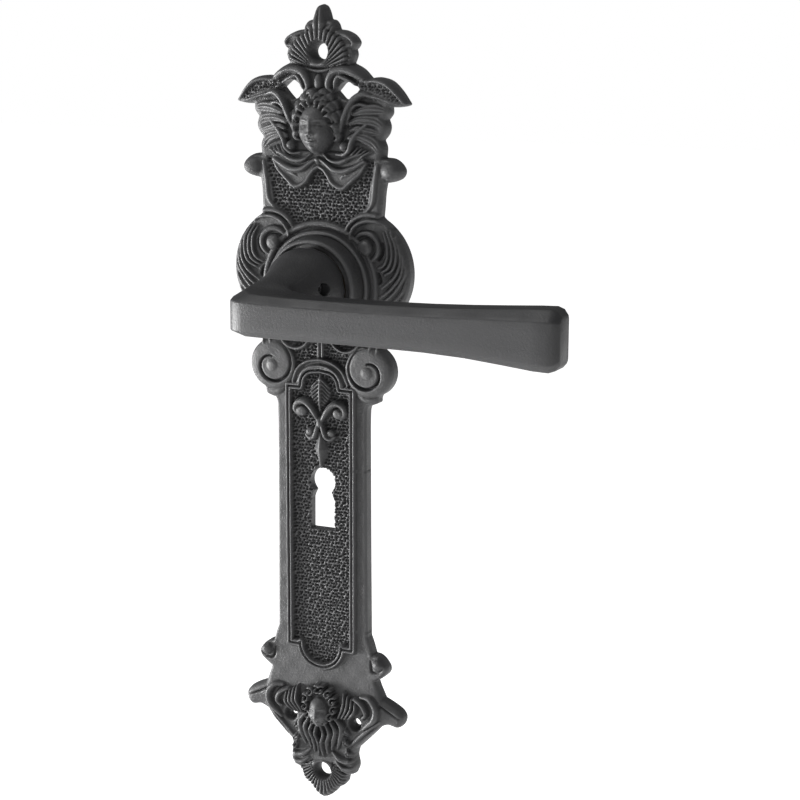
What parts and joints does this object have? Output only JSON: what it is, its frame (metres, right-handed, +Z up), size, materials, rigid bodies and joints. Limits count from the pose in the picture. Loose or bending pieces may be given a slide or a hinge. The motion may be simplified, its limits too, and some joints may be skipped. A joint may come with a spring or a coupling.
{
  "type": "door lever handle on long backplate",
  "caption": "Sprung door lever handle on a tall ornamental cast iron backplate with a keyhole for a mortice lock key.",
  "frame": {"origin": "spindle axis where it crosses the door face, the plane of the backplate's rim", "axes": "+X towards the lever's tip, +Y into the door along the spindle, +Z up along the backplate"},
  "size_m": [0.1404, 0.107, 0.29],
  "materials": {
    "plate_iron": "blackened, fine sand-cast grain, matte",
    "lever_iron": "blackened, smooth cast face, matte",
    "bush_bronze": "dark oiled bronze",
    "spring_steel": "oil-darkened steel",
    "zinc_steel": "zinc-plated steel"
  },
  "bodies": {
    "plate": {"backplate": "plate_iron", "bearing_bush": "bush_bronze", "wave_washer": "spring_steel", "thrust_washer": "spring_steel", "spring_cover": "zinc_steel", "stop_pin_rest": "spring_steel", "stop_pin_down": "spring_steel", "spring_anchor_pin": "spring_steel", "cover_screw_1": "zinc_steel", "cover_screw_2": "zinc_steel", "cover_screw_3": "zinc_steel"},
    "lever": {"lever_handle": "lever_iron", "grub_screw": "spring_steel", "spindle": "zinc_steel", "retaining_circlip": "spring_steel", "drive_plate": "zinc_steel", "return_spring": "spring_steel"}
  },
  "joints": [
    {"name": "lever_turn", "type": "hinge", "parent": "plate", "child": "lever", "pos_m": [0, 0, 0], "axis": [0, 1, 0], "range_deg": [0, 45], "stiffness_Nm_per_rad": 0.6, "springref_deg": -34.38, "deforming": ["return_spring"]}
  ]
}
